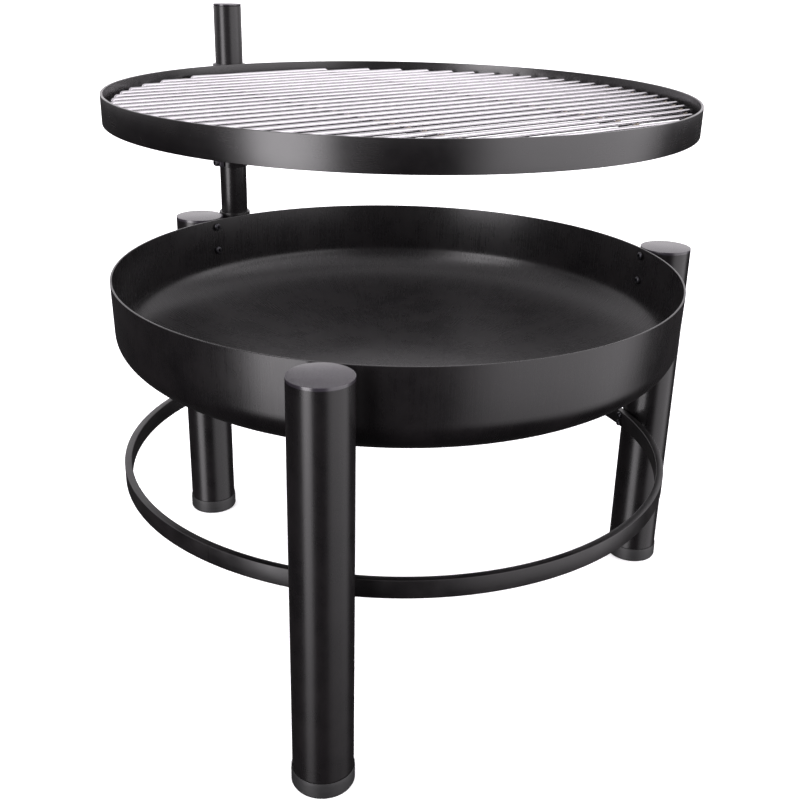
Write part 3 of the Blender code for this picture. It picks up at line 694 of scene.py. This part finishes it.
# Stainless steel drawn to wire and electropolished: bright, with faint lines along each rod and
# straw and blue heat tints close to the welds.
def drawn_stainless(name, tinted):
    material, tree, shader = new_material(name)
    spot = put(tree, "ShaderNodeTexCoord").outputs["Object"]
    turn = put(tree, "ShaderNodeMapping", Vector=spot)
    turn.inputs["Rotation"].default_value = (0, 0, -GRILL["Turn"])
    turn.inputs["Scale"].default_value = (1 / 0.050, 1 / 0.0008, 1 / 0.0008)
    lines = put(tree, "ShaderNodeTexNoise", Vector=turn.outputs[0], Scale=1.0, Detail=2.0)
    cloud = put(tree, "ShaderNodeTexNoise", Vector=spot, Scale=1 / 0.030, Detail=4.0, Roughness=0.6)
    bright = put(tree, "ShaderNodeMix", {"data_type": "RGBA"}, Factor=cloud.outputs["Fac"])
    bright.inputs[6].default_value = linear("#5f5b5a" if tinted else "#9d9b9e")
    bright.inputs[7].default_value = linear("#857a6c" if tinted else "#b9b7ba")
    tree.links.new(bright.outputs[2], shader.inputs["Base Color"])
    grain = put(tree, "ShaderNodeMapRange", Value=lines.outputs["Fac"])
    grain.inputs["To Min"].default_value = 0.30 if tinted else 0.16
    grain.inputs["To Max"].default_value = 0.50 if tinted else 0.32
    tree.links.new(grain.outputs[0], shader.inputs["Roughness"])
    bump = put(tree, "ShaderNodeBump", Strength=0.4, Distance=0.00002, Height=lines.outputs["Fac"])
    tree.links.new(bump.outputs[0], shader.inputs["Normal"])
    shader.inputs["Metallic"].default_value = 1.0
    return material


def grill_tree(wire, nugget):
    """Rods at an even pitch, each as long as the circle allows, over a wire ring and two cross rods."""
    tree = bpy.data.node_groups.new("round_grill", "GeometryNodeTree")
    given = inputs_of(tree, GRILL).outputs

    def sum_of(kind, first, second, third=None):
        links = {"n0": first, "n1": second}
        if third is not None:
            links["n2"] = third
        return put(tree, "ShaderNodeMath", {"operation": kind}, **links).outputs[0]

    def rod_offset(number):
        last = sum_of("SUBTRACT", given["Rods"], 1.0)
        middle = sum_of("MULTIPLY", last, 0.5)
        return sum_of("MULTIPLY", sum_of("SUBTRACT", number, middle), given["Pitch"])

    def half_chord(radius, offset):
        square = sum_of("SUBTRACT", sum_of("MULTIPLY", radius, radius), sum_of("MULTIPLY", offset, offset))
        return sum_of("SQRT", square, 0.0)

    def swept(curve, radius, sides):
        ring = put(tree, "GeometryNodeCurvePrimitiveCircle", Resolution=sides, Radius=radius)
        made = put(tree, "GeometryNodeCurveToMesh", Curve=curve)
        tree.links.new(ring.outputs[0], made.inputs["Profile Curve"])
        made.inputs["Fill Caps"].default_value = True
        return made.outputs[0]

    index = put(tree, "GeometryNodeInputIndex").outputs[0]
    number = sum_of("FLOOR", sum_of("DIVIDE", index, float(ROD_POINTS)), 0.0)
    point = sum_of("MODULO", index, float(ROD_POINTS))
    offset = rod_offset(number)
    half = half_chord(given["End Radius"], offset)
    from_end = sum_of("MINIMUM", point, sum_of("SUBTRACT", ROD_POINTS - 1.0, point))
    last_side = sum_of("GREATER_THAN", point, ROD_POINTS / 2 - 0.5)
    sign = sum_of("MULTIPLY_ADD", last_side, 2.0, -1.0)
    bend_steps = ROD_POINTS / 2 - 2
    share = sum_of("DIVIDE", sum_of("MAXIMUM", sum_of("SUBTRACT", from_end, 1.0), 0.0), float(bend_steps))
    angle = sum_of("MULTIPLY", share, math.pi / 2)
    inset = sum_of("MULTIPLY", sum_of("SUBTRACT", 1.0, sum_of("COSINE", angle, 0.0)), given["Bend"])
    along = sum_of("MULTIPLY", sum_of("SUBTRACT", half, inset), sign)
    bend_low = sum_of("SUBTRACT", given["Rod Z"], given["Bend"])
    bent_z = sum_of("MULTIPLY_ADD", sum_of("SINE", angle, 0.0), given["Bend"], bend_low)
    is_tip = sum_of("LESS_THAN", from_end, 0.5)
    drop = sum_of("SUBTRACT", bent_z, given["Tip Z"])
    rod_z = sum_of("SUBTRACT", bent_z, sum_of("MULTIPLY", is_tip, drop))
    rod_at = put(tree, "ShaderNodeCombineXYZ", X=along, Y=offset, Z=rod_z)
    one_rod = put(tree, "GeometryNodeCurvePrimitiveLine")
    cut_rod = put(tree, "GeometryNodeResampleCurve", Curve=one_rod.outputs[0], Count=ROD_POINTS)
    spots = put(tree, "GeometryNodeMeshLine", Count=given["Rods"])
    copies = put(tree, "GeometryNodeInstanceOnPoints", Points=spots.outputs[0], Instance=cut_rod.outputs[0])
    all_rods = put(tree, "GeometryNodeRealizeInstances", Geometry=copies.outputs[0])
    laid = put(tree, "GeometryNodeSetPosition", Geometry=all_rods.outputs[0], Position=rod_at.outputs[0])
    upright = put(tree, "GeometryNodeSetCurveNormal", {"mode": "Z_UP"}, Curve=laid.outputs[0])
    rods = swept(upright.outputs[0], given["Rod Radius"], 14)

    joined = put(tree, "GeometryNodeJoinGeometry")
    tree.links.new(rods, joined.inputs[0])
    hoop_wire = put(tree, "GeometryNodeCurvePrimitiveCircle", Resolution=200, Radius=given["Ring Radius"])
    lift = put(tree, "ShaderNodeCombineXYZ", Z=given["Wire Z"])
    lifted = put(tree, "GeometryNodeTransform", Geometry=hoop_wire.outputs[0], Translation=lift.outputs[0])
    tree.links.new(swept(lifted.outputs[0], given["Wire Radius"], 16), joined.inputs[0])
    nuggets = put(tree, "GeometryNodeJoinGeometry")
    nugget_z = sum_of("MULTIPLY", sum_of("ADD", given["Rod Z"], given["Wire Z"]), 0.5)
    for side in ("Cross Near", "Cross Far"):
        reach = half_chord(given["Ring Radius"], given[side])
        back = sum_of("MULTIPLY", reach, -1.0)
        start = put(tree, "ShaderNodeCombineXYZ", X=given[side], Y=back, Z=given["Wire Z"])
        end = put(tree, "ShaderNodeCombineXYZ", X=given[side], Y=reach, Z=given["Wire Z"])
        cross = put(tree, "GeometryNodeCurvePrimitiveLine", Start=start.outputs[0], End=end.outputs[0])
        tree.links.new(swept(cross.outputs[0], given["Wire Radius"], 16), joined.inputs[0])
        row = put(tree, "GeometryNodeMeshLine", Count=given["Rods"])
        spot = put(tree, "ShaderNodeCombineXYZ", X=given[side], Y=rod_offset(index), Z=nugget_z)
        placed = put(tree, "GeometryNodeSetPosition", Geometry=row.outputs[0], Position=spot.outputs[0])
        tree.links.new(placed.outputs[0], nuggets.inputs[0])
    for way in (-1.0, 1.0):
        row = put(tree, "GeometryNodeMeshLine", Count=given["Rods"])
        reach = sum_of("MULTIPLY", half_chord(given["Ring Radius"], rod_offset(index)), way)
        spot = put(tree, "ShaderNodeCombineXYZ", X=reach, Y=rod_offset(index), Z=nugget_z)
        placed = put(tree, "GeometryNodeSetPosition", Geometry=row.outputs[0], Position=spot.outputs[0])
        tree.links.new(placed.outputs[0], nuggets.inputs[0])
    blob = put(tree, "GeometryNodeMeshIcoSphere", Subdivisions=2, Radius=1.0)
    melted = put(tree, "GeometryNodeInstanceOnPoints", Points=nuggets.outputs[0], Instance=blob.outputs[0])
    melted.inputs["Scale"].default_value = GRILL_WELD
    solid_blobs = put(tree, "GeometryNodeRealizeInstances", Geometry=melted.outputs[0])
    bright = put(tree, "GeometryNodeSetMaterial", Geometry=joined.outputs[0], Material=wire)
    tinted = put(tree, "GeometryNodeSetMaterial", Geometry=solid_blobs.outputs[0], Material=nugget)
    whole = put(tree, "GeometryNodeJoinGeometry")
    tree.links.new(bright.outputs[0], whole.inputs[0])
    tree.links.new(tinted.outputs[0], whole.inputs[0])
    place = put(tree, "ShaderNodeCombineXYZ", X=given["Axis X"], Y=given["Axis Y"])
    swing = put(tree, "ShaderNodeCombineXYZ", Z=given["Turn"])
    moved = put(tree, "GeometryNodeTransform", Geometry=whole.outputs[0], Translation=place.outputs[0])
    tree.links.new(swing.outputs[0], moved.inputs["Rotation"])
    put(tree, "NodeGroupOutput", Mesh=moved.outputs[0])
    return tree


wire_steel = drawn_stainless("drawn_stainless_wire", False)
weld_steel = drawn_stainless("heat_tinted_weld", True)
grill = grown("round_grill_welded", grill_tree(wire_steel, weld_steel), GRILL)
keep(grill, None, "bright_steel", "grill", "grill_grid")

# ---------------------------------------------------------------------------------------------
# Studio. A pale lit floor with pale walls, a bright far side, a darker near side, and two tall
# soft boxes that give the black paint its upright highlights.
ROOM_HALF = 35
FLOOR_DROP = 0.0004
floor_mesh = bpy.data.meshes.new("studio_floor")
room_corners = [
    (x * ROOM_HALF, y * ROOM_HALF, z) for z in (0, ROOM_HALF)
    for x, y in ((-1, -1), (1, -1), (1, 1), (-1, 1))]
room_walls = [(i, i + 4, (i + 1) % 4 + 4, (i + 1) % 4) for i in range(4)]
floor_mesh.from_pydata(room_corners, [], [(0, 1, 2, 3)] + room_walls)
floor = bpy.data.objects.new("studio_floor", floor_mesh)
bpy.context.scene.collection.objects.link(floor)
floor.location.z = -FLOOR_DROP
floor_material, floor_tree, floor_shader = new_material("pale_floor")
floor_shader.inputs["Base Color"].default_value = linear("#f2f2f3")
floor_shader.inputs["Roughness"].default_value = 0.9
floor_shader.inputs["Specular IOR Level"].default_value = 0.1
floor_shader.inputs["Emission Color"].default_value = (1, 1, 1, 1)
floor_shader.inputs["Emission Strength"].default_value = 0.45
floor_mesh.materials.append(floor_material)
floor.visible_diffuse = False
floor.visible_glossy = False
floor.visible_shadow = False

CAMERA_AZIMUTH = 10.6
SOFT_BOXES = (
    {"turn": -41.0, "half": 8.0, "soft": 11.0, "power": 7.0},
    {"turn": 66.0, "half": 24.0, "soft": 24.0, "power": 2.5},
)
ROOM_WHITE = 1.30
ROOM_BELOW = 0.04
ROOM_NEAR_SIDE = 0.22

world = bpy.data.worlds.new("white_room")
world.use_nodes = True
bpy.context.scene.world = world
room = world.node_tree
room.nodes.clear()
looking = put(room, "ShaderNodeTexCoord").outputs["Generated"]
parts = put(room, "ShaderNodeSeparateXYZ", Vector=looking)
rise = put(room, "ShaderNodeMapRange", {"interpolation_type": "SMOOTHSTEP"}, Value=parts.outputs["Z"])
rise.inputs["From Min"].default_value = -0.12
rise.inputs["From Max"].default_value = 0.10
rise.inputs["To Min"].default_value = ROOM_BELOW
rise.inputs["To Max"].default_value = ROOM_WHITE
level = put(room, "ShaderNodeCombineXYZ", X=parts.outputs["X"], Y=parts.outputs["Y"])
heading = put(room, "ShaderNodeVectorMath", {"operation": "NORMALIZE"}, n0=level.outputs[0])
lifted = put(room, "ShaderNodeMath", {"operation": "SUBTRACT"}, n0=parts.outputs["Z"], n1=0.15)
height = put(room, "ShaderNodeMath", {"operation": "ABSOLUTE"}, n0=lifted.outputs[0])
tall = put(room, "ShaderNodeMapRange", {"interpolation_type": "SMOOTHSTEP"}, Value=height.outputs[0])
tall.inputs["From Min"].default_value = 0.90
tall.inputs["From Max"].default_value = 0.40
behind = math.radians(CAMERA_AZIMUTH + 90)
away = put(room, "ShaderNodeVectorMath", {"operation": "DOT_PRODUCT"}, n0=looking)
away.inputs[1].default_value = (math.cos(behind), math.sin(behind), 0.9)
side = put(room, "ShaderNodeMapRange", {"interpolation_type": "SMOOTHSTEP"}, Value=away.outputs["Value"])
side.inputs["From Min"].default_value = -0.35
side.inputs["From Max"].default_value = 0.75
side.inputs["To Min"].default_value = ROOM_NEAR_SIDE
side.inputs["To Max"].default_value = 1.0
walls = put(room, "ShaderNodeMath", {"operation": "MULTIPLY"}, n0=rise.outputs[0], n1=side.outputs[0])
light = walls.outputs[0]
for box in SOFT_BOXES:
    angle = math.radians(CAMERA_AZIMUTH - 90 + box["turn"])
    towards = (math.cos(angle), math.sin(angle), 0)
    near = put(room, "ShaderNodeVectorMath", {"operation": "DOT_PRODUCT"}, n0=heading.outputs[0], n1=towards)
    edge = put(room, "ShaderNodeMapRange", {"interpolation_type": "SMOOTHSTEP"}, Value=near.outputs["Value"])
    edge.inputs["From Min"].default_value = math.cos(math.radians(box["half"] + box["soft"]))
    edge.inputs["From Max"].default_value = math.cos(math.radians(box["half"]))
    shaped = put(room, "ShaderNodeMath", {"operation": "MULTIPLY"}, n0=edge.outputs[0], n1=tall.outputs[0])
    total = put(room, "ShaderNodeMath", {"operation": "MULTIPLY_ADD"}, n0=shaped.outputs[0], n1=box["power"])
    room.links.new(light, total.inputs[2])
    light = total.outputs[0]
glow = put(room, "ShaderNodeBackground", Strength=light)
glow.inputs["Color"].default_value = linear("#fffbff")
put(room, "ShaderNodeOutputWorld", Surface=glow.outputs[0])
bpy.context.scene.view_settings.view_transform = "Standard"

# Camera, 0.84 m above the floor and 1.3 m from the bowl's axis, a little to the right of the
# front leg.
CAMERA_AT = Vector((0.24345, -1.30155, 0.84365))
CAMERA_YAW = 10.352
CAMERA_PITCH = 22.609
CAMERA_ROLL = 1.318
CAMERA_LENS = 49.187
camera_data = bpy.data.cameras.new("camera")
camera = bpy.data.objects.new("camera", camera_data)
bpy.context.scene.collection.objects.link(camera)
camera.matrix_world = (
    Matrix.Translation(AXIS + CAMERA_AT) @ Matrix.Rotation(math.radians(CAMERA_YAW), 4, "Z")
    @ Matrix.Rotation(math.radians(90 - CAMERA_PITCH), 4, "X")
    @ Matrix.Rotation(math.radians(CAMERA_ROLL), 4, "Z"))
camera_data.lens = CAMERA_LENS
camera_data.sensor_width = 36.0
camera_data.clip_end = 200.0
bpy.context.scene.camera = camera
